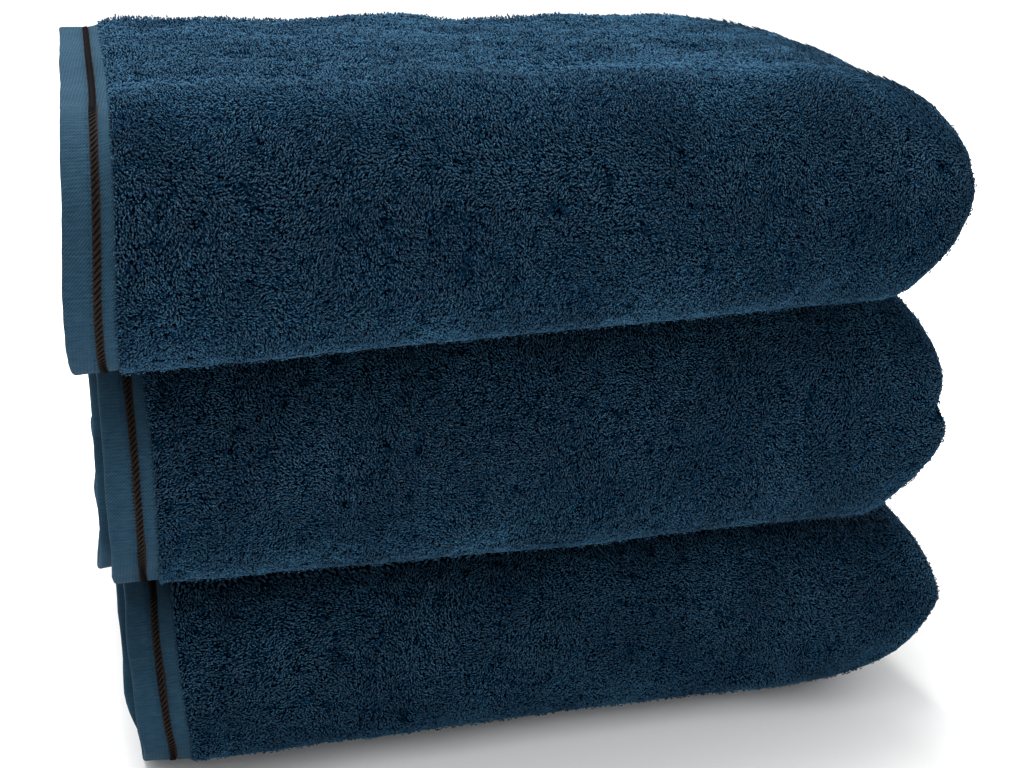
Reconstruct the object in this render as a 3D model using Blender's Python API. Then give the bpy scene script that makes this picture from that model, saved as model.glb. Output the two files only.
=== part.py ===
"""A stack of three bath towels, each folded in four along its length and in three across its width.

Units are metres, +Z is up, and the origin is the middle of the stack's underside. X runs along the
folds: the towels' short, hemmed ends are at -X, and the round folded ends are at +X. The big round
letter fold of each towel faces -Y.

Folding in four along the length gives a bundle of four plies, one on another. The bundle is then
letter-folded: a top panel runs forward, turns under at the front fold, becomes the bottom panel,
turns up at the back fold, and ends as the tucked panel between the other two. Every piece of a
towel is one outline, drawn across the bundle, swept along that letter fold.
"""

import math
from collections import namedtuple

import bmesh
import bpy

# The cloth, before it is folded.
CLOTH_LENGTH = 1.400
CLOTH_WIDTH = 0.700

# How it is folded.
PLIES = 4
PANELS = 3
PANEL_GAP = 0.0010
FOLD_INSET = 0.0030  # how far the hidden end fold stays behind the edge of the outer hem
NESTED_REACH = 0.0030  # how far the second ply's hem looks out from under the outer one

# The flat-woven border at each short end, from its edge inwards.
HEM_WIDTH = 0.0086
HEM_THICKNESS = 0.0026
STITCH_WIDTH = 0.0006
STITCH_HEIGHT = 0.0009
STRIPE_WIDTH = 0.0026
STRIPE_THICKNESS = 0.0016
HEADING_WIDTH = 0.0070
HEADING_THICKNESS = 0.0018
BORDER_INSET = 0.0020  # the border lies this much below the pile

# The woven edge along each long side of the cloth.
SELVEDGE_WIDTH = 0.0060
SELVEDGE_INSET = 0.0010

# Clearances.
PIECE_GAP = 0.0003
TOWEL_GAP = 0.0005

# Facets of the round stretches.
FRONT_STEPS = 10
BACK_STEPS = 6
END_STEPS = 8
PLY_STEPS = 5
HEM_STEPS = 4

# Each towel, from the bottom up: its name, the thickness that one ply of terry is pressed to, and
# how far it lies to the right of and behind the top towel.
Towel = namedtuple("Towel", "name ply right back")
TOWELS = (
    Towel("bottom", 0.0065, 0.012, 0.033),
    Towel("middle", 0.0080, 0.005, 0.025),
    Towel("top", 0.0077, 0.000, 0.000),
)

# Colour, roughness and metallic value of each kind of piece.
FINISHES = {
    "terry": ((0.012, 0.042, 0.090), 0.95, 0.0),
    "border": ((0.022, 0.065, 0.115), 0.80, 0.0),
    "stripe": ((0.012, 0.010, 0.012), 0.85, 0.0),
    "thread": ((0.030, 0.080, 0.130), 0.60, 0.0),
}

Fold = namedtuple("Fold", "bundle front back panel")


def fold_of(towel):
    """The letter fold: bundle thickness, mid-surface radii of the two folds, and panel length."""
    bundle = PLIES * towel.ply
    front = bundle + PANEL_GAP
    back = (bundle + PANEL_GAP) / 2
    panel = (CLOTH_WIDTH - math.pi * (front + back)) / PANELS
    return Fold(bundle, front, back, panel)


def height_of(towel):
    return PANELS * PLIES * towel.ply + (PANELS - 1) * PANEL_GAP


def depth_of(towel):
    fold = fold_of(towel)
    return fold.front + fold.panel + fold.back + fold.bundle


def straight_run(towel):
    """Length along X from the outer hem's edge to where the round end begins."""
    turns = math.pi * towel.ply * (1.5 + 0.5 + 0.5)
    return (CLOTH_LENGTH - turns) / PLIES


def length_of(towel):
    return straight_run(towel) + fold_of(towel).bundle / 2


def path_length():
    return CLOTH_WIDTH


def folded(fold, along, out):
    """(y, z) of the point at this distance along the letter fold and this far out of its middle.

    The towel's front is at y = 0 and its underside at z = 0.
    """
    half = fold.bundle / 2
    front_y = fold.front + half
    back_y = front_y + fold.panel
    bottom_z = half
    tucked_z = bottom_z + 2 * fold.back
    top_z = bottom_z + 2 * fold.front
    if along <= fold.panel:
        return back_y - along, top_z + out
    along -= fold.panel
    if along <= math.pi * fold.front:
        turn = along / fold.front
        radius = fold.front + out
        middle_z = (bottom_z + top_z) / 2
        return front_y - radius * math.sin(turn), middle_z + radius * math.cos(turn)
    along -= math.pi * fold.front
    if along <= fold.panel:
        return front_y + along, bottom_z - out
    along -= fold.panel
    if along <= math.pi * fold.back:
        turn = along / fold.back
        radius = fold.back + out
        middle_z = (bottom_z + tucked_z) / 2
        return back_y + radius * math.sin(turn), middle_z - radius * math.cos(turn)
    along -= math.pi * fold.back
    return back_y - along, tucked_z + out


def stations(fold, start, end):
    """Distances along the letter fold where an outline is placed: both ends, and every facet."""
    front_end = fold.panel + math.pi * fold.front
    back_start = front_end + fold.panel
    facets = [fold.panel + math.pi * fold.front * i / FRONT_STEPS for i in range(FRONT_STEPS + 1)]
    facets += [back_start + math.pi * fold.back * i / BACK_STEPS for i in range(BACK_STEPS + 1)]
    return [start] + [at for at in facets if start < at < end] + [end]


def arc(x, out, radius, start, end, steps):
    """Points (x, out) on an arc, from one angle to another in degrees, both ends included."""
    turns = [math.radians(start + (end - start) * i / steps) for i in range(steps + 1)]
    return [(x + radius * math.cos(turn), out + radius * math.sin(turn)) for turn in turns]


def border_width():
    """From a hem's edge to where its pile begins."""
    return HEM_WIDTH + STITCH_WIDTH + STRIPE_WIDTH + HEADING_WIDTH + 4 * PIECE_GAP


def bundle_outline(towel, inset):
    """The four plies of terry: a round folded end at the right, and the two borders' steps and the
    round end of the hidden plies at the left."""
    ply = towel.ply
    half = fold_of(towel).bundle / 2
    right = straight_run(towel)
    outer = border_width()
    nested = outer - NESTED_REACH
    outline = arc(right, 0, half - inset, -90, 90, END_STEPS)
    outline += [(outer, half - inset), (outer, ply), (nested, ply), (nested, 0)]
    outline += arc(FOLD_INSET + ply, -ply, ply - inset, 90, 270, PLY_STEPS)
    return outline


def strip_outline(left, width, top, thickness):
    return [
        (left, top - thickness),
        (left + width, top - thickness),
        (left + width, top),
        (left, top),
    ]


def hem_outline(left, top):
    """A hem: the cloth's edge folded over, round at its left edge."""
    radius = HEM_THICKNESS / 2
    outline = arc(left + radius, top - radius, radius, 90, 270, HEM_STEPS)
    return outline + [(left + HEM_WIDTH, top - HEM_THICKNESS), (left + HEM_WIDTH, top)]


def swept(fold, outline, start, end):
    """A closed mesh: the outline (x, out) carried along the letter fold from start to end."""
    mesh = bmesh.new()
    rings = []
    for along in stations(fold, start, end):
        ring = [mesh.verts.new((x, *folded(fold, along, out))) for x, out in outline]
        rings.append(ring)
    for near, far in zip(rings, rings[1:]):
        for i in range(len(outline)):
            j = (i + 1) % len(outline)
            mesh.faces.new((near[i], near[j], far[j], far[i]))
    mesh.faces.new(rings[0])
    mesh.faces.new(rings[-1])
    bmesh.ops.recalc_face_normals(mesh, faces=mesh.faces)
    return mesh


def material(name, finish):
    colour, roughness, metallic = FINISHES[finish]
    made = bpy.data.materials.new(name)
    made.use_nodes = True
    shader = made.node_tree.nodes["Principled BSDF"]
    shader.inputs["Base Color"].default_value = (*colour, 1.0)
    shader.inputs["Roughness"].default_value = roughness
    shader.inputs["Metallic"].default_value = metallic
    return made


def add_piece(name, solid, parent, finish):
    data = bpy.data.meshes.new(name)
    solid.to_mesh(data)
    solid.free()
    data.shade_smooth()
    data.set_sharp_from_angle(angle=math.radians(40))
    piece = bpy.data.objects.new(name, data)
    data.materials.append(material(name, finish))
    bpy.context.collection.objects.link(piece)
    piece.parent = parent
    return piece


def add_border(towel, layer, left, top, parent):
    """One hemmed end: the hem, its row of stitches, the contrast stripe and the flat heading."""
    fold = fold_of(towel)
    pieces = (
        ("hem", "border", HEM_WIDTH, HEM_THICKNESS),
        ("hem_stitch", "thread", STITCH_WIDTH, STITCH_HEIGHT),
        ("stripe", "stripe", STRIPE_WIDTH, STRIPE_THICKNESS),
        ("heading", "border", HEADING_WIDTH, HEADING_THICKNESS),
    )
    for part, finish, width, thickness in pieces:
        if part == "hem":
            outline = hem_outline(left, top)
        else:
            outline = strip_outline(left, width, top, thickness)
        solid = swept(fold, outline, 0, path_length())
        add_piece(f"{towel.name}_towel_{layer}_{part}", solid, parent, finish)
        left += width + PIECE_GAP


def add_selvedge(towel, name, start, parent):
    """The woven edge of all four plies, at one end of the letter fold."""
    outline = bundle_outline(towel, SELVEDGE_INSET)
    solid = swept(fold_of(towel), outline, start, start + SELVEDGE_WIDTH)
    add_piece(f"{towel.name}_towel_{name}", solid, parent, "border")


def add_towel(towel, place):
    """All pieces of one towel, under an empty on the line it is lifted along."""
    parent = bpy.data.objects.new(f"{towel.name}_towel_lift", None)
    bpy.context.collection.objects.link(parent)
    parent.location = place
    half = fold_of(towel).bundle / 2
    inner_end = SELVEDGE_WIDTH + PIECE_GAP
    terry = swept(
        fold_of(towel), bundle_outline(towel, 0), inner_end, path_length() - inner_end
    )
    add_piece(f"{towel.name}_towel_terry_cloth", terry, parent, "terry")
    add_border(towel, "outer", 0, half - BORDER_INSET, parent)
    add_border(towel, "nested", -NESTED_REACH, half - towel.ply - PIECE_GAP, parent)
    add_selvedge(towel, "top_selvedge", 0, parent)
    add_selvedge(towel, "tucked_selvedge", path_length() - SELVEDGE_WIDTH, parent)


def clear_scene():
    for thing in list(bpy.data.objects):
        bpy.data.objects.remove(thing, do_unlink=True)


def build():
    clear_scene()
    left = min(towel.right for towel in TOWELS) - NESTED_REACH
    right = max(towel.right + length_of(towel) for towel in TOWELS)
    front = min(towel.back for towel in TOWELS)
    back = max(towel.back + depth_of(towel) for towel in TOWELS)
    base = 0.0
    for towel in TOWELS:
        add_towel(
            towel,
            (towel.right - (left + right) / 2, towel.back - (front + back) / 2, base),
        )
        base += height_of(towel) + TOWEL_GAP


build()
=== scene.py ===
"""Three folded terry towels in a stack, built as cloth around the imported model.

Every towel is one long sheet, folded in four along its length and letter-folded across its width.
A point of a towel is given in its own folding coordinates and placed by place():

    x      distance from the outer hem's edge, along the stack
    out    distance from the middle of the four plies, outwards of the letter fold
    along  distance along the letter fold, from the free edge at the top to the tucked edge

place() turns that into the letter fold's shape and then gives it the soft towel's unevenness.
"""

import math

import bpy
import numpy as np
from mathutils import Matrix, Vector


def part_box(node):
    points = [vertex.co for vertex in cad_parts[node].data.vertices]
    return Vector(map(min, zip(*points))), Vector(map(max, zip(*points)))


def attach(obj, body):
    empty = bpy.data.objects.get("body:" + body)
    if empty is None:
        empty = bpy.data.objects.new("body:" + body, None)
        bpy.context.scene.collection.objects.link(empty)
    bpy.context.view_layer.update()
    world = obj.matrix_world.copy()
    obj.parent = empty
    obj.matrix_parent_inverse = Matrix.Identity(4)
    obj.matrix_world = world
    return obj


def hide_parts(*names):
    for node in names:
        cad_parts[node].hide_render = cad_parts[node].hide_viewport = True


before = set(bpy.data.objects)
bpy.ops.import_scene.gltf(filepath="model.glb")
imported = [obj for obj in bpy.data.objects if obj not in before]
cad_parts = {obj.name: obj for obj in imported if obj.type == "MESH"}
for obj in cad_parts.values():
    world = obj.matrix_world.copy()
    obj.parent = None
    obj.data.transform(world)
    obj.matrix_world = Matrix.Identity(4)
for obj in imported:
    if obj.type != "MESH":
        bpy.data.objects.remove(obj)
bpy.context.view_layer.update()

# How the cloth is folded.
PLIES = 4
PANELS = 3
PANEL_GAP = 0.0010

# The cloth's layers. The pile stands this far out of the dense ground of each ply.
PILE_REACH = 0.0010
GROUND_END = 0.0022  # thickness of the ground where the flat border begins
GROUND_TAPER = 0.0018
SELVEDGE_WIDTH = 0.0060
SELVEDGE_THICKNESS = 0.0020

# The woven border.
HEM_THICKNESS = 0.0026
HEADING_THICKNESS = 0.0018
STRIPE_THICKNESS = 0.0014
RIB_PITCH = 0.00100
TWILL_LINE = 0.95  # spacing along the border of the weave's slanting lines, in mm
TWILL_LEAN = 0.8
RIB_HEIGHT = 0.00010
TWILL_PITCH = 0.00165
TWILL_SLANT = 0.00105
TWILL_RADIUS = 0.00060
STITCH_PITCH = 0.0031
STITCH_LENGTH = 0.0024
UNDER_PILE = 0.0012  # how far the border runs on below the first loops

# The loops of the pile: spacing, length, yarn radius and how deep their feet are buried.
FINE_LOOP = {"pitch": 0.00097, "length": 0.0017, "radius": 0.00030, "drop": 0.0009}
TOP_LOOP = {"pitch": 0.00112, "length": 0.0019, "radius": 0.00034, "drop": 0.0010}
PLAIN_LOOP = {"pitch": 0.00215, "length": 0.0033, "radius": 0.00058, "drop": 0.0010}
UNDER_LOOP = {"pitch": 0.00290, "length": 0.0041, "radius": 0.00078, "drop": 0.0010}
LOOP_FACES = 12  # triangles in one loop
EDGE_DROP = 0.0015  # how much lower the first loops sit, next to the border
MOST_FACES = 190_000  # triangles in one piece of pile
# Painted shade on each yarn's sides.
FLANK_SHADE = 0.40  # how light a yarn is low on its sides, where its neighbours shade it, next to its ridge

SEED = 20

# Colours, dark and light, in linear RGB.
PILE_DARK = (0.0118, 0.049, 0.102)
PILE_LIGHT = (0.063, 0.194, 0.328)
# Painted shade: the near-black colour a loop takes towards its buried feet.
PILE_FOOT_SHADE = (0.0005, 0.0030, 0.0080)
# The ground's dye, made far darker than the loops': painted shade for the gaps between the loops.
GROUND_DYE_AND_SHADE_DARK = (0.0002, 0.0010, 0.0030)
GROUND_DYE_AND_SHADE_LIGHT = (0.0030, 0.0160, 0.0350)
# Painted shade: the darker colour in the grooves between the border's ribs; it also draws the weave's own
# slanting lines.
WOVEN_GROOVE_SHADE = (0.007, 0.021, 0.036)
WOVEN_DARK = (0.0155, 0.045, 0.076)
WOVEN_LIGHT = (0.026, 0.067, 0.104)
STRIPE_COLOURS = ((0.009, 0.007, 0.006), (0.030, 0.021, 0.017))
FLOAT_COLOURS = ((0.0010, 0.0010, 0.0014), (0.0030, 0.0030, 0.0040))
THREAD_COLOURS = ((0.012, 0.042, 0.076), (0.022, 0.062, 0.105))

# The stage. The sky is dimmer at the horizon than overhead, which deepens the creases.
FLOOR_SIZE = 40
FLOOR_COLOUR = (0.96, 0.96, 0.96, 1)
SKY_AT_HORIZON = 0.70
SKY_OVERHEAD = 1.22
LAMPS = {  # place, size and power
    "key": ((-0.1, 0.4, 1.6), 1.0, 41),
    "fill": ((0.7, -1.2, 0.15), 0.8, 4),
}
LAMP_AIM = (0, 0, 0.12)
CAMERA_ANGLES = (-13.4, 19.6, 0.16)  # azimuth, elevation and roll, in degrees
CAMERA_LENS = 62.4
CAMERA_DISTANCE = 0.751
CAMERA_AIM = (-0.0046, -0.0386, 0.1326)

# The towels' shapes, from the bottom of the stack up.
#   round      how far the round end draws in at its lower and upper edge, the share of the height
#              where it reaches furthest, and how its lower half tapers
#   pinch      a crease in the round end: its share of the height, and its depth
#   lift       how far the round end's underside rises
#   droop      how far the round end's top sinks
#   sag        how far the underside of the front sinks, at the flat and at the round end
#   pressed    how far the top of the front sinks away from the towel above, at the same two ends
#   turn       how far the towel is turned on the one below, as a slope
#   set_back   how much further back than its packed place it lies
#   short      how much the plies draw in the round end, at the front and at the back
#   back_drop  how far the upper side falls away at the back of the round end
#   spread     how far the flat end moves out, all of it
#   flare      the same, only low at the front
#   crown      how much the pile swells next to the border
#   inner      how far the plies below the outer one lie back, high and low on the front fold
#   overhang   how far the loops reach out over the border
TOWELS = {
    "bottom": {
        "round": (0.037, 0.010, 0.66, 1.3), "pinch": (0.45, 0.000), "lift": 0.010, "droop": 0.002,
        "sag": (0.0, 0.0), "pressed": (0.017, 0.008), "turn": 0.0, "set_back": -0.002,
        "short": (0.015, 0.015), "back_drop": 0.0, "spread": 0.004, "flare": -0.003,
        "crown": 0.001, "inner": (0.0, 0.006), "overhang": 0.0015,
    },
    "middle": {
        "round": (0.025, 0.006, 0.57, 1.15), "pinch": (0.63, 0.005), "lift": 0.0, "droop": 0.003,
        "sag": (0.0065, 0.0095), "pressed": (0.018, 0.008), "turn": 0.0, "set_back": 0.003,
        "short": (0.011, 0.011), "back_drop": 0.0, "spread": 0.0, "flare": 0.001,
        "crown": 0.0, "inner": (0.0, -0.0022), "overhang": 0.0028,
    },
    "top": {
        "round": (0.021, 0.018, 0.62, 1.1), "pinch": (0.45, 0.000), "lift": 0.0, "droop": 0.0165,
        "sag": (0.0080, 0.0055), "pressed": (0.0, 0.0), "turn": 0.04, "set_back": 0.004,
        "short": (0.0122, -0.013), "back_drop": 0.0045, "spread": 0.0, "flare": 0.0045,
        "crown": 0.0025, "inner": (0.0065, 0.0065), "overhang": 0.0032,
    },
}
TUCKED_RECESS = 0.003  # how far the tucked panel's plies lie back at the flat end
ROUND_REACH = 0.090  # how much of the length the round end's shape takes
DROOP_REACH = 0.080
SAG_REACH = 0.08  # how far back from the front the sagging reaches
PRESSED_REACH = 0.10
STRIP_OVERLAP = 0.0001  # how far a strip reaches over its neighbour's edge
STITCH_INSET = 0.0008  # from the hem's inner edge
STITCH_RADIUS = 0.0002
SELVEDGE_GAP = 0.0003


class Towel:
    """One towel's place and folding sizes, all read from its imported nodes."""

    def __init__(self, name, shape):
        low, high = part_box(f"{name}_towel_terry_cloth")
        hem_low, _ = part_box(f"{name}_towel_outer_hem")
        self.name = name
        self.shape = shape
        self.body = f"{name}_towel"
        self.corner = np.array([hem_low.x, low.y, low.z])
        self.height = high.z - low.z
        self.depth = high.y - low.y
        self.length = high.x - hem_low.x
        self.ply = (self.height - (PANELS - 1) * PANEL_GAP) / (PANELS * PLIES)
        self.half = PLIES * self.ply / 2
        self.front = 2 * self.half + PANEL_GAP
        self.back = self.front / 2
        self.panel = self.depth - self.front - self.back - 2 * self.half
        self.run = self.length - self.half
        self.total = 3 * self.panel + math.pi * (self.front + self.back)
        _, heading_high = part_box(f"{name}_towel_outer_heading")
        self.pile_start = heading_high.x - hem_low.x - shape["overhang"]
        self.fold_middle = low.x - hem_low.x + self.ply
        self.rank = list(TOWELS).index(name)

    def ends(self):
        """Distances along the fold where the front fold, bottom panel, back fold and tucked panel begin."""
        front = self.panel
        bottom = front + math.pi * self.front
        back = bottom + self.panel
        tucked = back + math.pi * self.back
        return front, bottom, back, tucked


def smooth(t):
    t = np.clip(t, 0.0, 1.0)
    return t * t * (3 - 2 * t)


def waves(points, wavelength, seed, count=7):
    """Smooth noise between about -1 and 1, the same each run: waves in fixed directions."""
    rng = np.random.default_rng(SEED + seed)
    directions = rng.normal(size=(count, points.shape[-1]))
    directions /= np.linalg.norm(directions, axis=1, keepdims=True)
    lengths = wavelength * rng.uniform(0.6, 1.9, count)
    phases = rng.uniform(0, 2 * math.pi, count)
    found = np.zeros(points.shape[:-1])
    for direction, length, phase in zip(directions, lengths, phases):
        found += np.sin(2 * math.pi * (points @ direction) / length + phase)
    return found / math.sqrt(count)


def letter_fold(towel, along, out):
    """(y, z) of points along the letter fold, from the towel's front and underside."""
    front_at, bottom_at, back_at, tucked_at = towel.ends()
    front_y = towel.front + towel.half
    back_y = front_y + towel.panel
    bottom_z = towel.half
    tucked_z = bottom_z + 2 * towel.back
    top_z = bottom_z + 2 * towel.front
    turn = np.clip((along - front_at) / towel.front, 0, math.pi)
    turn_back = np.clip((along - back_at) / towel.back, 0, math.pi)
    radius, radius_back = towel.front + out, towel.back + out
    where = [along <= front_at, along <= bottom_at, along <= back_at, along <= tucked_at]
    y = np.select(
        where,
        [
            back_y - along,
            front_y - radius * np.sin(turn),
            front_y + along - bottom_at,
            back_y + radius_back * np.sin(turn_back),
        ],
        back_y - (along - tucked_at),
    )
    z = np.select(
        where,
        [
            top_z + out,
            (bottom_z + top_z) / 2 + radius * np.cos(turn),
            bottom_z - out,
            (bottom_z + tucked_z) / 2 - radius_back * np.cos(turn_back),
        ],
        tucked_z + out,
    )
    return y, z


def stretch(towel, along, out):
    """How much longer the cloth's path is at out than at its middle: only the two folds differ."""
    front_at, bottom_at, back_at, tucked_at = towel.ends()
    where = [along <= front_at, along <= bottom_at, along <= back_at, along <= tucked_at]
    return np.select(where, [1.0, 1 + out / towel.front, 1.0, 1 + out / towel.back], 1.0)


def softened(towel, p):
    """The unevenness of a real towel, which vanishes where it lies flat on its neighbour."""
    shape = towel.shape
    x, y, z = p[..., 0], p[..., 1], p[..., 2]
    share = np.clip(z / towel.height, 0, 1)
    low, high, widest, taper = shape["round"]
    below = np.clip((widest - share) / widest, 0, 1)
    above = np.clip((share - widest) / (1 - widest), 0, 1)
    recess = low * below**taper + high * (1 - np.sqrt(1 - above**2))
    pinch_at, pinch_depth = shape["pinch"]
    recess = recess + pinch_depth * np.exp(-(((share - pinch_at) / 0.07) ** 2))
    near_end = smooth((x - (towel.length - ROUND_REACH)) / ROUND_REACH)
    x = x - near_end * recess
    depth_share = np.clip(y / towel.depth, 0, 1)
    short = shape["short"][0] + (shape["short"][1] - shape["short"][0]) * depth_share
    x = x - short * np.clip(2 * p[..., 0] / towel.length - 1, 0, 1)
    end = smooth((x - (towel.length - DROOP_REACH)) / DROOP_REACH)
    z = z - shape["droop"] * end * share + shape["lift"] * end * (1 - share) ** 2
    off_middle = p[..., 0] - towel.length / 2
    back = depth_share * np.sin(math.pi * np.clip(p[..., 0] / towel.length, 0, 1) ** 2)
    swell = 0.55 * smooth(1.8 - p[..., 0] / 0.13) + 0.5 * np.exp(-(((p[..., 0] - 0.026) / 0.014) ** 2))
    swell = swell * smooth((p[..., 0] - 0.012) / 0.010)
    z = z + share * (shape["crown"] * swell - shape["back_drop"] * back)
    y = y + shape["turn"] * off_middle + shape["set_back"]
    sag, pressed = (
        at_flat + (at_round - at_flat) * p[..., 0] / towel.length
        for at_flat, at_round in (shape["sag"], shape["pressed"])
    )
    z = z - smooth(1 - y / SAG_REACH) * sag * (1 - share)
    z = z - smooth(1 - y / PRESSED_REACH) * pressed * share
    flare = shape["spread"] + shape["flare"] * smooth(1 - y / SAG_REACH) * smooth(1.3 - 1.3 * share)
    x = x - flare * smooth(1 - p[..., 0] / 0.10)
    free_top = 1.0 if towel.rank == len(TOWELS) - 1 else smooth((1 - share) / 0.25)
    free = smooth(share / 0.25) * free_top
    world = p + towel.corner
    big = [waves(world, 0.13, 10 * towel.rank + axis) for axis in range(3)]
    small = waves(world, 0.040, 10 * towel.rank + 5, 20)
    x = x + 0.0010 * big[0]
    y = y + 0.0022 * big[1] * free + 0.0007 * small * free
    z = z + 0.0016 * big[2] * free + 0.0006 * small * free
    return np.stack([x, y, z], -1) + towel.corner


def place(towel, x, along, out):
    """World positions of points given in folding coordinates."""
    x, along, out = np.broadcast_arrays(x, along, out)
    y, z = letter_fold(towel, along, out)
    tucked_at = towel.ends()[3]
    tucked = smooth((along - tucked_at) / towel.panel)
    inner = smooth((towel.half - 0.55 * towel.ply - out) / (0.5 * towel.ply))
    flat_end = smooth(1 - x / 0.10)
    front_at, bottom_at, _, _ = towel.ends()
    lower = smooth((along - front_at) / (bottom_at - front_at) * 2 - 0.7)
    high_inner, low_inner = towel.shape["inner"]
    recess = high_inner + (low_inner - high_inner) * lower
    x = x + inner * flat_end * (recess * (1 - tucked) + TUCKED_RECESS * tucked)
    return softened(towel, np.stack([x, y, z], -1))


# Meshes from arrays.

def add_mesh(name, points, faces, towel, *, uv=None, values=None):
    """A smooth-shaded mesh that rides on the towel's body. faces is a list of index arrays, one for
    each number of corners; values are float attributes on its points."""
    mesh = bpy.data.meshes.new(name)
    points = np.asarray(points, np.float32).reshape(-1, 3)
    mesh.vertices.add(len(points))
    mesh.vertices.foreach_set("co", points.ravel())
    corners = np.concatenate([group.ravel() for group in faces])
    counts = np.concatenate([np.full(len(group), group.shape[1]) for group in faces])
    mesh.loops.add(len(corners))
    mesh.loops.foreach_set("vertex_index", corners.astype(np.int32))
    mesh.polygons.add(len(counts))
    starts = np.concatenate([[0], np.cumsum(counts)[:-1]])
    mesh.polygons.foreach_set("loop_start", starts.astype(np.int32))
    mesh.update(calc_edges=True)
    mesh.shade_smooth()
    if uv is not None:
        layer = mesh.uv_layers.new(name="OFBake")
        layer.uv.foreach_set("vector", np.asarray(uv, np.float32).ravel())
    for label, numbers in (values or {}).items():
        attribute = mesh.attributes.new(label, "FLOAT", "POINT")
        attribute.data.foreach_set("value", np.asarray(numbers, np.float32).ravel())
    piece = bpy.data.objects.new(name, mesh)
    bpy.context.scene.collection.objects.link(piece)
    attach(piece, towel.body)
    return piece


def grid_faces(rows, columns, wrap=False):
    """Quads of a grid of points, row by row; with wrap, the last column joins the first."""
    i = np.arange(rows - 1)[:, None]
    j = np.arange(columns if wrap else columns - 1)[None, :]
    k = (j + 1) % columns
    first, second = i * columns + j, i * columns + k
    return np.stack([first, second, second + columns, first + columns], -1).reshape(-1, 4)


def steps_along(towel, start, end, straight, fold_steps):
    """Distances along the letter fold: steps of about straight on the panels, finer in the folds."""
    front_at, bottom_at, back_at, tucked_at = towel.ends()
    stops = [start, front_at, bottom_at, back_at, tucked_at, end]
    found = []
    for index, (a, b) in enumerate(zip(stops, stops[1:])):
        in_fold = index in (1, 3)
        count = fold_steps if in_fold else max(2, round((b - a) / straight))
        found.append(np.linspace(a, b, count, endpoint=False))
    return np.concatenate(found + [[end]])


def ply_path(towel):
    """The middle of the cloth through its four plies, from one border to the other: points (x, out),
    their normals, and the distance from the nearer border."""
    ply, run, turn_x = towel.ply, towel.run, towel.fold_middle
    arc = np.linspace(0, math.pi, 13)[1:-1]
    small_arc = np.linspace(0, math.pi, 9)[1:-1]
    nested_start = towel.pile_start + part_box(f"{towel.name}_towel_nested_hem")[0].x - towel.corner[0]
    first = np.array([0, 0.4, 0.9, 1.4, 2.0, 4.8]) / 1000
    outward = np.concatenate([towel.pile_start + first, np.linspace(towel.pile_start + 0.012, run, 34)])
    across = np.linspace(run, turn_x, 36)
    back_across = across[::-1]
    home = np.concatenate([np.linspace(run, nested_start + 0.012, 34), nested_start + first[::-1]])
    big, small = 1.5 * ply, 0.5 * ply
    legs = [
        (outward, np.full(len(outward), big), 0.0, 1.0),
        (run + big * np.sin(arc), big * np.cos(arc), np.sin(arc), np.cos(arc)),
        (across, np.full(len(across), -big), 0.0, -1.0),
        (turn_x - small * np.sin(small_arc), -ply - small * np.cos(small_arc),
         -np.sin(small_arc), -np.cos(small_arc)),
        (back_across, np.full(len(across), -small), 0.0, 1.0),
        (run + small * np.sin(small_arc), -small * np.cos(small_arc),
         -np.sin(small_arc), np.cos(small_arc)),
        (home, np.full(len(home), small), 0.0, -1.0),
    ]
    x = np.concatenate([leg[0] for leg in legs])
    out = np.concatenate([leg[1] for leg in legs])
    normal_x = np.concatenate([np.broadcast_to(leg[2], leg[0].shape) for leg in legs])
    normal_out = np.concatenate([np.broadcast_to(leg[3], leg[0].shape) for leg in legs])
    travelled = np.concatenate([[0], np.cumsum(np.hypot(np.diff(x), np.diff(out)))])
    from_border = np.minimum(travelled, travelled[-1] - travelled)
    return x, out, normal_x, normal_out, from_border


def ribbon(towel, name, path, thickness, along, **extra):
    """A closed sheet: the path (x, out) through the plies, given its thickness, swept along the fold."""
    x, out, normal_x, normal_out, _ = path
    count = len(x)
    half = thickness / 2
    loop_x = np.concatenate([x + half * normal_x, (x - half * normal_x)[::-1]])
    loop_out = np.concatenate([out + half * normal_out, (out - half * normal_out)[::-1]])
    points = place(towel, loop_x[None, :], along[:, None], loop_out[None, :])
    rows, columns = points.shape[:2]
    sides = grid_faces(rows, columns, wrap=True)
    near = np.arange(count - 1)
    cap = np.stack([near, near + 1, columns - 2 - near, columns - 1 - near], -1)
    far_cap = cap[:, ::-1] + (rows - 1) * columns
    return add_mesh(name, points, [np.concatenate([sides[:, ::-1], cap[:, ::-1], far_cap[:, ::-1]])],
                    towel, **extra)


def add_cloth(towel):
    path = ply_path(towel)
    full = towel.ply - 2 * PILE_REACH
    thickness = GROUND_END + (full - GROUND_END) * smooth(path[4] / GROUND_TAPER)
    along = steps_along(towel, SELVEDGE_WIDTH, towel.total - SELVEDGE_WIDTH, 0.009, 18)
    return ribbon(towel, f"{towel.name}_cloth", path, thickness, along)


def add_selvedge(towel, name, start, end):
    path = ply_path(towel)
    thickness = np.full(len(path[0]), SELVEDGE_THICKNESS)
    along = np.linspace(start, end, 7)
    return ribbon(towel, f"{towel.name}_{name}", path, thickness, along)


def strip_of(towel, part):
    """A border strip's left and right edge and its upper face, in folding coordinates."""
    low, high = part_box(f"{towel.name}_towel_{part}")
    top = towel.half - (towel.corner[2] + towel.height - high.z)
    return low.x - towel.corner[0], high.x - towel.corner[0], top


def woven_edges(towel, node):
    """strip_of, with the strip reaching over the narrow gaps to its neighbours and under the pile."""
    left, right, top = strip_of(towel, node)
    layer, part = node.split("_")
    if part == "hem":
        right = strip_of(towel, f"{layer}_stripe")[0] + STRIP_OVERLAP
    if part == "stripe":
        right = strip_of(towel, f"{layer}_heading")[0] + STRIP_OVERLAP
    if part == "heading":
        right += UNDER_PILE - towel.shape["overhang"]
    return left, right, top


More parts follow.
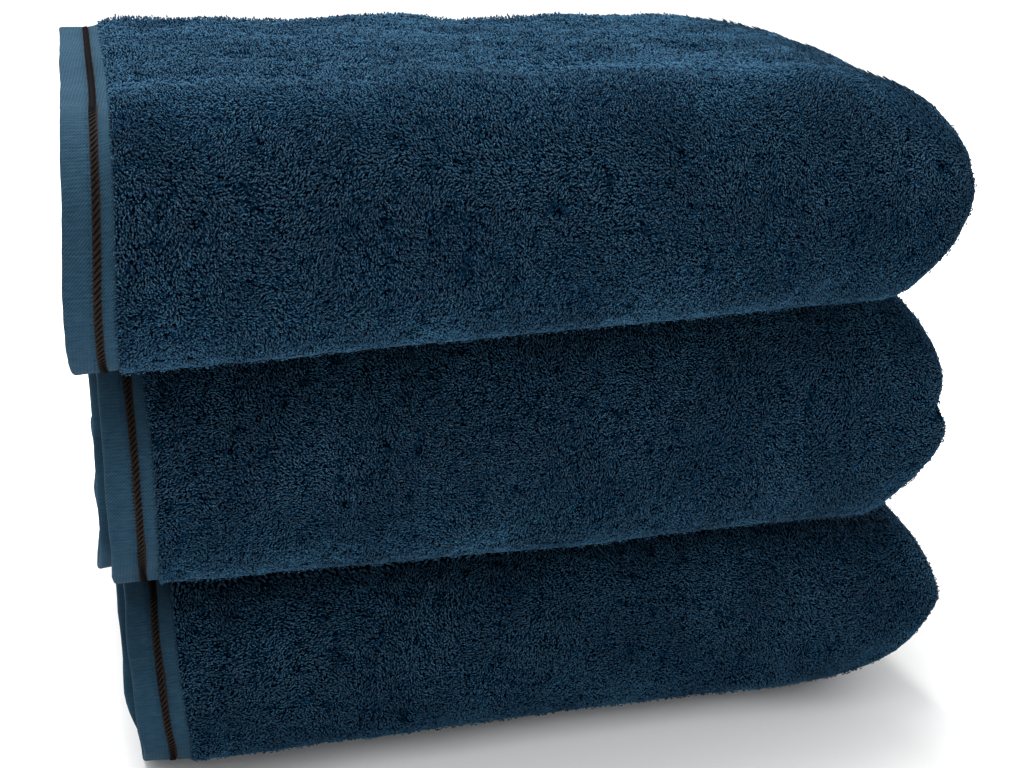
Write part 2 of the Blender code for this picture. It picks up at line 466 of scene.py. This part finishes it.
def strip_section(left, right, top, thickness, rounded):
    """A strip's outline (x, out) and, for each point, how much of the ribs' height it takes."""
    if rounded:
        turn = np.linspace(math.pi / 2, 3 * math.pi / 2, 7)
        radius = thickness / 2
        x = left + radius + radius * np.cos(turn)
        out = top - radius + radius * np.sin(turn)
        rib = np.sin(turn)
    else:
        x, out, rib = np.array([left, left]), np.array([top, top - thickness]), np.array([1.0, -1.0])
    inner = np.linspace(left + thickness / 2, right, 4)[1:]
    x = np.concatenate([x, inner, inner[::-1]])
    out = np.concatenate([out, np.full(3, top - thickness), np.full(3, top)])
    rib = np.concatenate([rib, np.full(3, -1.0), np.full(3, 1.0)])
    return x, out, rib


def ripple(towel, along, nested=False):
    """The border's waviness along its length: calmer on the top panel, looser on the nested one."""
    points = along[:, None]
    seed = towel.rank + 7 * nested
    calm = 0.35 + 0.65 * smooth((along - towel.ends()[0] + 0.02) / 0.03)
    loose = 1.6 if nested else 1.0
    broad = waves(points, 0.045, 50 + seed) * 0.0004 * loose
    return calm * (waves(points, 0.009, 40 + seed) * 0.00007 + broad)


def add_strip(towel, node, thickness, *, rounded=False, ribbed=True, nested=False):
    """One strip of the woven border. Only the outer hem and heading have ribs in their shape."""
    left, right, top = woven_edges(towel, node)
    x, out, rib = strip_section(left, right, top, thickness, rounded)
    if nested:
        along = steps_along(towel, 0, towel.total, 0.004, 20)
    elif ribbed:
        along = np.arange(0, towel.total, RIB_PITCH / 3)
    else:
        along = steps_along(towel, 0, towel.total, 0.0009, 90)
    height = 0 * along
    if ribbed and not nested:
        height = RIB_HEIGHT * np.cos(2 * math.pi * along / RIB_PITCH)
    wave = ripple(towel, along, nested)
    edge = np.clip((left + 0.006 - x) / 0.006, 0, 1)
    free = np.clip((towel.pile_start - x) / towel.pile_start, 0, 1)
    points_x = x[None, :] + (edge[None, :] * wave[:, None]) * 0.8
    points_out = out[None, :] + height[:, None] * rib[None, :] + free[None, :] * wave[:, None]
    points = place(towel, points_x, along[:, None], points_out)
    rows, columns = points.shape[:2]
    sides = grid_faces(rows, columns, wrap=True)
    cap = np.arange(columns)[None, :]
    # Painted shade: a factor that is high on the ribs' tops and low in the grooves between them.
    uneven = 0.18 + 0.12 * waves(along[:, None], 0.0043, 95)
    ridge = (0.7 + uneven * np.cos(2 * math.pi * along / RIB_PITCH))[:, None] * np.ones((1, columns))
    shape = np.ones_like(ridge)
    return add_mesh(f"{towel.name}_{node}", points,
                    [sides, cap[:, ::-1], cap + (rows - 1) * columns], towel,
                    values={"ridge": ridge if ribbed else 0.6 * shape,
                            "across": x[None, :] * shape * 1000, "down": along[:, None] * shape * 1000})


# Short yarns: loops of the pile, floats of the twill stripe, and stitches.

def yarn_template(rings):
    """Where along a yarn its rings are, and its faces: a spindle with three sides."""
    at = np.linspace(-1, 1, rings + 2)
    if rings == 3:
        at = np.array([-1, -0.8, 0, 0.8, 1])
    tip = 3 * rings + 1
    side = np.arange(3)
    after = (side + 1) % 3
    fans = np.concatenate([
        np.stack([0 * side, 1 + after, 1 + side], -1),
        np.stack([0 * side + tip, tip - 3 + side, tip - 3 + after], -1),
    ])
    quads = []
    for ring in range(rings - 1):
        base = 1 + 3 * ring
        quads.append(np.stack([base + side, base + after, base + 3 + after, base + 3 + side], -1))
    return at, fans, np.concatenate(quads)


def yarn_uv(count, rings, fans, quads):
    """Each yarn gets its own cell of the map, so that it keeps its own colour when baked."""
    cells = math.ceil(math.sqrt(count))
    cell = np.arange(count)
    corner = np.stack([cell % cells, cell // cells], -1)
    tip = 3 * rings + 1

    def spot(face):
        spots = []
        ring_of = [0 if v == 0 else rings + 1 if v == tip else 1 + (v - 1) // 3 for v in face]
        sides = [(v - 1) % 3 for v in face if 0 < v < tip]
        wraps = 0 in sides and 2 in sides
        for v, ring in zip(face, ring_of):
            if 0 < v < tip:
                side = (v - 1) % 3
                side = 3 if wraps and side == 0 else side
            else:
                side = (min(sides) + 0.5) if not wraps else 2.5
            spots.append((0.1 + 0.8 * ring / (rings + 1), 0.1 + 0.8 * side / 3))
        return spots

    fan_uv = np.array([spot(face) for face in fans])
    quad_uv = np.array([spot(face) for face in quads])
    placed = [
        (corner[:, None, None, :] + part[None]).reshape(-1, 2) / cells for part in (fan_uv, quad_uv)
    ]
    return np.concatenate(placed)


def add_yarns(towel, name, x, along, out, radius, tint, rise):
    """Yarns given by their middles in folding coordinates: arrays of yarns by points on each. The
    first and last point of a yarn are its tips."""
    count, points_each = x.shape
    rings = points_each - 2
    _, fans, quads = yarn_template(rings)
    turn = math.pi / 2 + np.arange(3) * 2 * math.pi / 3
    scale = stretch(towel, along, out)
    step_x = np.gradient(x, axis=1)
    step_along = np.gradient(along, axis=1) * scale
    size = np.hypot(step_x, step_along) + 1e-9
    side_x, side_along = -step_along / size, step_x / size
    inner = slice(1, -1)
    ring_side = radius[:, inner, None] * np.cos(turn)
    ring_out = radius[:, inner, None] * np.sin(turn)
    ring_x = x[:, inner, None] + side_x[:, inner, None] * ring_side
    ring_along = along[:, inner, None] + side_along[:, inner, None] * ring_side / scale[:, inner, None]
    ring_out = out[:, inner, None] + ring_out

    def joined(values, ringed):
        return np.concatenate([values[:, :1], ringed.reshape(count, -1), values[:, -1:]], axis=1)

    placed = place(towel, joined(x, ring_x), joined(along, ring_along), joined(out, ring_out))
    each = 3 * rings + 2
    base = (np.arange(count) * each)[:, None, None]
    faces = [(base + part[None]).reshape(-1, part.shape[1]) for part in (fans, quads)]
    # Painted shade: each ring's top corner keeps the full colour, its two lower corners are darker.
    ridge = np.array([1.0, FLANK_SHADE, FLANK_SHADE])
    yarn_light_points = joined(rise, rise[:, inner, None] * ridge)
    tints = np.repeat(tint[:, None], each, axis=1)
    return add_mesh(name, placed, faces, towel, uv=yarn_uv(count, rings, fans, quads),
                    values={"tint": tints, "rise": yarn_light_points})


def outline(towel, a, depth):
    """(x, out) at distance a round the bundle of plies, this depth below the pile's surface."""
    top_end = towel.run - towel.pile_start
    end_end = top_end + math.pi * towel.half
    under_end = end_end + towel.run - towel.fold_middle
    turn = np.clip((a - top_end) / towel.half, 0, math.pi)
    hidden_turn = np.clip((a - under_end) / towel.ply, 0, math.pi)
    where = [a <= top_end, a <= end_end, a <= under_end]
    x = np.select(
        where,
        [towel.pile_start + a, towel.run + (towel.half - depth) * np.sin(turn),
         towel.run - (a - end_end)],
        towel.fold_middle - (towel.ply - depth) * np.sin(hidden_turn),
    )
    out = np.select(
        where,
        [towel.half - depth, (towel.half - depth) * np.cos(turn), depth - towel.half],
        -towel.ply - (towel.ply - depth) * np.cos(hidden_turn),
    )
    return x, out


def outline_stops(towel):
    """Where each side of the bundle starts and ends, as distances round its outline."""
    top_end = towel.run - towel.pile_start
    end_end = top_end + math.pi * towel.half
    under_end = end_end + towel.run - towel.fold_middle
    return {
        "face": (0.0, top_end),
        "end": (top_end, end_end),
        "hidden": (under_end, under_end + math.pi * towel.ply),
    }


def surface_stops(towel):
    """Each stretch of the letter fold: where it starts, and its length at the pile's surface."""
    front_at, bottom_at, back_at, tucked_at = towel.ends()
    return {
        "top": (0.0, front_at, towel.panel),
        "front": (front_at, bottom_at, math.pi * (towel.front + towel.half)),
        "under": (bottom_at, back_at, towel.panel),
        "back": (back_at, tucked_at, math.pi * (towel.back + towel.half)),
        "tucked": (tucked_at, towel.total, towel.panel),
    }


def add_pile(towel, side, stretch_name, loop, pressed=False):
    """Loops over one stretch of the fold. pressed pile lies flat under a neighbour's weight."""
    a_start, a_end = outline_stops(towel)[side]
    along_start, along_end, surface_length = surface_stops(towel)[stretch_name]
    seed = SEED + 100 * towel.rank + 10 * list(surface_stops(towel)).index(stretch_name)
    rng = np.random.default_rng(seed + ("face", "end", "hidden").index(side))
    pitch = loop["pitch"]
    columns = max(1, round((a_end - a_start) / pitch))
    rows = max(1, round(surface_length / pitch))
    i, j = np.meshgrid(np.arange(columns), np.arange(rows), indexing="ij")
    jitter = rng.uniform(-0.38, 0.38, (2, columns, rows))
    a = a_start + (i + 0.5 + jitter[0]) / columns * (a_end - a_start)
    along = along_start + (j + 0.5 + jitter[1]) / rows * (along_end - along_start)
    a, along = a.ravel(), along.ravel()
    _, surface_out = outline(towel, a, 0.0)
    keep = rng.random(len(a)) < stretch(towel, along, surface_out) / stretch(towel, along, towel.half)
    a, along, surface_out = a[keep], along[keep], surface_out[keep]
    count = len(a)
    at, _, _ = yarn_template(2)
    flat = np.stack([a, along * 1.3], -1)
    clump = 0.7 * waves(flat, 0.0085, 60 + towel.rank, 40)
    patch = waves(flat, 0.045, 70 + towel.rank, 30)
    heading = 1.2 * waves(flat, 0.075, 80 + towel.rank, 5) + 0.5 * waves(flat, 0.011, 90, 7)
    heading = heading + rng.normal(0, 0.50, count)
    on_top = 1 - smooth((along - towel.ends()[0] + 0.005) / 0.035)
    heading = heading * (1 - 0.5 * on_top) + math.pi / 2 * on_top
    length = loop["length"] * rng.uniform(0.7, 1.25, count)
    curl = rng.uniform(-0.75, 0.75, count)
    tip = 0.00035 + 0.00028 * (1 + clump) + rng.exponential(0.00022, count)
    if pressed:
        tip = 0.00042 + rng.uniform(0, 0.0003, count)
    else:
        tip = tip - 0.0009 * (rng.random(count) < 0.05)
    forward = at[None, :] * length[:, None] / 2
    sideways = curl[:, None] * length[:, None] * (0.5 - at[None, :] ** 2) * 0.6
    cos, sin = np.cos(heading)[:, None], np.sin(heading)[:, None]
    move_a = forward * cos - sideways * sin
    move_along = (forward * sin + sideways * cos) / stretch(towel, along, surface_out)[:, None]
    drop = loop["drop"] * (1 + 0.5 * on_top * (not pressed))
    if side == "face":
        tip = tip + EDGE_DROP * np.clip(1 - a / EDGE_DROP, 0, 1) ** 2
    depth = tip[:, None] + drop[:, None] * np.abs(at[None, :]) ** 2.2
    x, out = outline(towel, a[:, None] + move_a, depth)
    all_along = along[:, None] + move_along
    thick = loop["radius"] * rng.uniform(0.8, 1.2, count)
    radius = thick[:, None] * np.sqrt(np.clip(1 - at[None, :] ** 2 * 0.55, 0, 1))
    # Painted shade: a loop is darker towards its buried feet, and where its clump sits deeper.
    rise = np.clip(1 - np.abs(at[None, :]) ** 1.5 - 0.12 * clump[:, None], 0, 1)
    tint = np.clip(0.42 + 0.13 * patch + 0.10 * clump + 0.21 * rng.normal(size=count), 0, 1)
    parts = math.ceil(count * LOOP_FACES / MOST_FACES)
    order = np.argsort(a, kind="stable")
    made = []
    for index, chosen in enumerate(np.array_split(order, parts)):
        name = f"{towel.name}_pile_{side}_{stretch_name}_{index + 1}"
        made.append(add_yarns(towel, name, x[chosen], all_along[chosen], out[chosen],
                              radius[chosen], tint[chosen], rise[chosen]))
    return made


def add_twill(towel):
    """Black floats that slant across the brown stripe."""
    left, right, top = woven_edges(towel, "outer_stripe")
    along = np.arange(TWILL_PITCH, towel.total - TWILL_PITCH, TWILL_PITCH)
    rng = np.random.default_rng(SEED + 300 + towel.rank)
    at, _, _ = yarn_template(3)
    middle = (left + right) / 2
    half = (right - left) / 2 * rng.uniform(0.75, 0.92, len(along))
    x = middle + at[None, :] * half[:, None]
    slant = -TWILL_SLANT * at[None, :] + 0 * half[:, None]
    radius = TWILL_RADIUS * np.sqrt(1 - 0.4 * at[None, :] ** 2) + 0 * half[:, None]
    wave = ripple(towel, along)[:, None]
    free = np.clip((towel.pile_start - x) / towel.pile_start, 0, 1)
    out = top + 0.00002 - 0.00015 * at[None, :] ** 2 + free * wave
    tint = rng.uniform(0, 1, len(along))
    # Painted shade values, lower towards the float's ends where it dives into the cloth.
    rise = 1 - np.abs(at[None, :]) ** 2 + 0 * half[:, None]
    return add_yarns(towel, f"{towel.name}_twill_floats", x, along[:, None] + slant, out, radius,
                     tint, rise)


def add_stitches(towel, layer):
    """The row of sewing thread near the inner edge of a hem."""
    left, right, top = woven_edges(towel, f"{layer}_hem")
    nested = layer == "nested"
    along = np.arange(STITCH_PITCH, towel.total - STITCH_PITCH, STITCH_PITCH)
    at, _, _ = yarn_template(3)
    x = np.full((len(along), len(at)), right - STITCH_INSET)
    places = along[:, None] + at[None, :] * STITCH_LENGTH / 2
    wave = ripple(towel, along, nested)[:, None]
    free = (towel.pile_start - x) / towel.pile_start
    out = top + 0.00012 - 0.00045 * at[None, :] ** 4 + free * wave
    radius = np.full(x.shape, STITCH_RADIUS)
    tint = np.full(len(along), 0.5)
    # Painted shade values, lower towards the stitch's ends where it dives into the hem.
    rise = 1 - np.abs(at[None, :]) ** 3 + 0 * x
    return add_yarns(towel, f"{towel.name}_{layer}_stitches", x, places, out, radius, tint, rise)


# Materials.

COLOUR_A, COLOUR_B, COLOUR_OUT = 6, 7, 2  # a Mix node's colour sockets


def new_material(name, roughness, sheen, specular=0.10):
    material = bpy.data.materials.new(name)
    material.use_nodes = True
    tree = material.node_tree
    shader = tree.nodes["Principled BSDF"]
    shader.inputs["Roughness"].default_value = roughness
    shader.inputs["Specular IOR Level"].default_value = specular
    shader.inputs["Sheen Weight"].default_value = sheen
    shader.inputs["Sheen Roughness"].default_value = 0.45
    shader.inputs["Sheen Tint"].default_value = (0.55, 0.75, 0.95, 1)
    return material, tree, shader


def node(tree, kind, **settings):
    made = tree.nodes.new(kind)
    for key, value in settings.items():
        setattr(made, key, value)
    return made


def mixed(tree, factor, low, high):
    """A colour between low and high, each a colour or a socket."""
    mix = node(tree, "ShaderNodeMix", data_type="RGBA")
    tree.links.new(factor, mix.inputs["Factor"])
    for slot, colour in ((COLOUR_A, low), (COLOUR_B, high)):
        if isinstance(colour, tuple):
            mix.inputs[slot].default_value = (*colour, 1)
        else:
            tree.links.new(colour, mix.inputs[slot])
    return mix.outputs[COLOUR_OUT]


def noise(tree, scale, detail=2.0, stretch_by=(1, 1, 1)):
    coordinates = node(tree, "ShaderNodeTexCoord")
    mapping = node(tree, "ShaderNodeMapping")
    mapping.inputs["Scale"].default_value = stretch_by
    texture = node(tree, "ShaderNodeTexNoise")
    texture.inputs["Scale"].default_value = scale
    texture.inputs["Detail"].default_value = detail
    tree.links.new(coordinates.outputs["Object"], mapping.inputs["Vector"])
    tree.links.new(mapping.outputs["Vector"], texture.inputs["Vector"])
    return texture.outputs["Fac"]


def bump(tree, shader, height, strength, distance):
    made = node(tree, "ShaderNodeBump")
    made.inputs["Strength"].default_value = strength
    made.inputs["Distance"].default_value = distance
    tree.links.new(height, made.inputs["Height"])
    tree.links.new(made.outputs["Normal"], shader.inputs["Normal"])


def attribute(tree, name):
    return node(tree, "ShaderNodeAttribute", attribute_name=name).outputs["Fac"]


def pile_material():
    material, tree, shader = new_material("terry_loops", 0.85, 0.08, specular=0.05)
    dyed = mixed(tree, attribute(tree, "tint"), PILE_DARK, PILE_LIGHT)
    twist = node(tree, "ShaderNodeMapRange")
    twist.inputs["From Min"].default_value = 0.35
    twist.inputs["From Max"].default_value = 0.65
    twist.inputs["To Min"].default_value = 0.55
    twist.inputs["To Max"].default_value = 1.15
    tree.links.new(noise(tree, 1300, 1), twist.inputs["Value"])
    # Painted shade: the dyed colour darkens towards the near-black foot colour where the yarn's light
    # factor is low, with a fine fleck noise on top.
    product = node(tree, "ShaderNodeMath", operation="MULTIPLY", use_clamp=True)
    tree.links.new(attribute(tree, "rise"), product.inputs[0])
    tree.links.new(twist.outputs["Result"], product.inputs[1])
    shaded = mixed(tree, product.outputs["Value"], PILE_FOOT_SHADE, dyed)
    tree.links.new(shaded, shader.inputs["Base Color"])
    return material


def ground_material():
    material, tree, shader = new_material("terry_ground", 0.95, 0.0, specular=0.0)
    # Painted shade: the ground is near black in the gaps between the loops, with noise between two dark
    # tones.
    gap_shade = node(tree, "ShaderNodeMapRange")
    gap_shade.inputs["From Min"].default_value = 0.42
    gap_shade.inputs["From Max"].default_value = 0.66
    tree.links.new(noise(tree, 800, 2), gap_shade.inputs["Value"])
    tree.links.new(mixed(tree, gap_shade.outputs["Result"], GROUND_DYE_AND_SHADE_DARK, GROUND_DYE_AND_SHADE_LIGHT),
                   shader.inputs["Base Color"])
    bump(tree, shader, noise(tree, 1100, 3), 0.8, 0.0006)
    return material


def woven_material():
    material, tree, shader = new_material("border_weave", 0.85, 0.05, specular=0.05)
    blotch = mixed(tree, noise(tree, 120, 3), WOVEN_DARK, WOVEN_LIGHT)
    thread = mixed(tree, noise(tree, 900, 2, (0.35, 1, 1)), (0.35, 0.42, 0.48), (1.45, 1.40, 1.36))
    product = node(tree, "ShaderNodeMix", data_type="RGBA", blend_type="MULTIPLY")
    product.inputs["Factor"].default_value = 0.8
    slanted = node(tree, "ShaderNodeMath", operation="MULTIPLY_ADD")
    slanted.inputs[1].default_value = TWILL_LEAN
    tree.links.new(attribute(tree, "across"), slanted.inputs[0])
    tree.links.new(attribute(tree, "down"), slanted.inputs[2])
    turned = node(tree, "ShaderNodeMath", operation="MULTIPLY")
    turned.inputs[1].default_value = 2 * math.pi / TWILL_LINE
    tree.links.new(slanted.outputs["Value"], turned.inputs[0])
    line = node(tree, "ShaderNodeMath", operation="SINE")
    tree.links.new(turned.outputs["Value"], line.inputs[0])
    lined = node(tree, "ShaderNodeMath", operation="MULTIPLY_ADD", use_clamp=True)
    lined.inputs[1].default_value = 0.38
    tree.links.new(line.outputs["Value"], lined.inputs[0])
    tree.links.new(attribute(tree, "ridge"), lined.inputs[2])
    # Painted shade in the grooves between the ribs, and the weave's own slanting lines, both in the darker
    # colour.
    groove_shaded = mixed(tree, lined.outputs["Value"], WOVEN_GROOVE_SHADE, blotch)
    tree.links.new(groove_shaded, product.inputs[COLOUR_A])
    tree.links.new(thread, product.inputs[COLOUR_B])
    tree.links.new(product.outputs[COLOUR_OUT], shader.inputs["Base Color"])
    bump(tree, shader, noise(tree, 2600, 2, (0.5, 1, 1)), 0.35, 0.0002)
    return material


def plain_material(name, dark, light, roughness, scale):
    material, tree, shader = new_material(name, roughness, 0.0, specular=0.03)
    tree.links.new(mixed(tree, noise(tree, scale, 2), dark, light), shader.inputs["Base Color"])
    bump(tree, shader, noise(tree, scale * 2, 2), 0.3, 0.0002)
    return material


# Stage.

def add_stage():
    bpy.ops.mesh.primitive_plane_add(size=FLOOR_SIZE, location=(0, 0, 0))
    floor = bpy.context.object
    floor.name = "floor"
    material = bpy.data.materials.new("pale_floor")
    material.use_nodes = True
    shader = material.node_tree.nodes["Principled BSDF"]
    shader.inputs["Base Color"].default_value = FLOOR_COLOUR
    shader.inputs["Roughness"].default_value = 0.8
    floor.data.materials.append(material)
    add_sky()
    add_lamps()
    bpy.context.scene.view_settings.view_transform = "Standard"


def add_sky():
    world = bpy.data.worlds.new("studio")
    world.use_nodes = True
    background = world.node_tree.nodes["Background"]
    background.inputs["Color"].default_value = (1, 1, 1, 1)
    direction = node(world.node_tree, "ShaderNodeSeparateXYZ")
    source = node(world.node_tree, "ShaderNodeTexCoord")
    world.node_tree.links.new(source.outputs["Generated"], direction.inputs["Vector"])
    strength = node(world.node_tree, "ShaderNodeMapRange")
    strength.inputs["To Min"].default_value = SKY_AT_HORIZON
    strength.inputs["To Max"].default_value = SKY_OVERHEAD
    world.node_tree.links.new(direction.outputs["Z"], strength.inputs["Value"])
    world.node_tree.links.new(strength.outputs["Result"], background.inputs["Strength"])
    bpy.context.scene.world = world


def add_lamps():
    for name, (place_at, size, power) in LAMPS.items():
        light = bpy.data.lights.new(name, "AREA")
        light.size = size
        light.energy = power
        lamp = bpy.data.objects.new(name, light)
        lamp.location = place_at
        lamp.rotation_euler = to_track(np.array(LAMP_AIM) - np.array(place_at))
        bpy.context.scene.collection.objects.link(lamp)


def to_track(direction):
    """The rotation that turns a lamp or camera to face this way."""
    return Vector(direction).to_track_quat("-Z", "Y").to_euler()


def add_camera():
    azimuth, elevation, roll = (math.radians(v) for v in CAMERA_ANGLES)
    forward = np.array([
        -math.sin(azimuth) * math.cos(elevation),
        math.cos(azimuth) * math.cos(elevation),
        -math.sin(elevation),
    ])
    camera = bpy.data.cameras.new("camera")
    camera.sensor_width = 36
    camera.lens = CAMERA_LENS
    holder = bpy.data.objects.new("camera", camera)
    holder.location = np.array(CAMERA_AIM) - forward * CAMERA_DISTANCE
    turned = to_track(forward)
    turned.rotate_axis("Z", -roll)
    holder.rotation_euler = turned
    bpy.context.scene.collection.objects.link(holder)
    bpy.context.scene.camera = holder


def build_towel(name, shape, looks):
    towel = Towel(name, shape)
    cloth = add_cloth(towel)
    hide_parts(f"{name}_towel_terry_cloth")
    parts = {"ground": [cloth], "woven": [], "stripe": [], "black": [], "thread": [], "pile": []}
    for layer in ("outer", "nested"):
        nested = layer == "nested"
        hem = add_strip(towel, f"{layer}_hem", HEM_THICKNESS, rounded=True, nested=nested)
        heading = add_strip(towel, f"{layer}_heading", HEADING_THICKNESS, nested=nested)
        stripe = add_strip(towel, f"{layer}_stripe", STRIPE_THICKNESS, ribbed=False, nested=nested)
        stitches = add_stitches(towel, layer)
        for piece, part in ((hem, "hem"), (heading, "heading"), (stripe, "stripe"),
                            (stitches, "hem_stitch")):
            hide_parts(f"{name}_towel_{layer}_{part}")
        parts["woven"] += [hem, heading]
        parts["stripe"].append(stripe)
        parts["thread"].append(stitches)
    parts["black"].append(add_twill(towel))
    for edge, start, end in (
        ("top_selvedge", 0.0, SELVEDGE_WIDTH - SELVEDGE_GAP),
        ("tucked_selvedge", towel.total - SELVEDGE_WIDTH + SELVEDGE_GAP, towel.total),
    ):
        piece = add_selvedge(towel, edge, start, end)
        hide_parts(f"{name}_towel_{edge}")
        parts["woven"].append(piece)
    covered = name != "top"
    pile = parts["pile"]
    pile += add_pile(towel, "face", "front", FINE_LOOP)
    pile += add_pile(towel, "face", "top", PLAIN_LOOP if covered else TOP_LOOP, pressed=covered)
    pile += add_pile(towel, "face", "under", UNDER_LOOP, pressed=True)
    pile += add_pile(towel, "face", "back", PLAIN_LOOP)
    for stretch_name in ("top", "front"):
        pile += add_pile(towel, "end", stretch_name, FINE_LOOP)
    for stretch_name in ("under", "back", "tucked"):
        pile += add_pile(towel, "end", stretch_name, PLAIN_LOOP)
    for stretch_name in surface_stops(towel):
        pile += add_pile(towel, "hidden", stretch_name, PLAIN_LOOP)
    for kind, pieces in parts.items():
        for piece in pieces:
            piece.data.materials.append(looks[kind])


looks = {
    "ground": ground_material(),
    "pile": pile_material(),
    "woven": woven_material(),
    "stripe": plain_material("stripe_ground", *STRIPE_COLOURS, 0.8, 900),
    "black": plain_material("stripe_floats", *FLOAT_COLOURS, 0.7, 900),
    "thread": plain_material("sewing_thread", *THREAD_COLOURS, 0.6, 900),
}
for towel_name, towel_shape in TOWELS.items():
    build_towel(towel_name, towel_shape, looks)
add_stage()
add_camera()
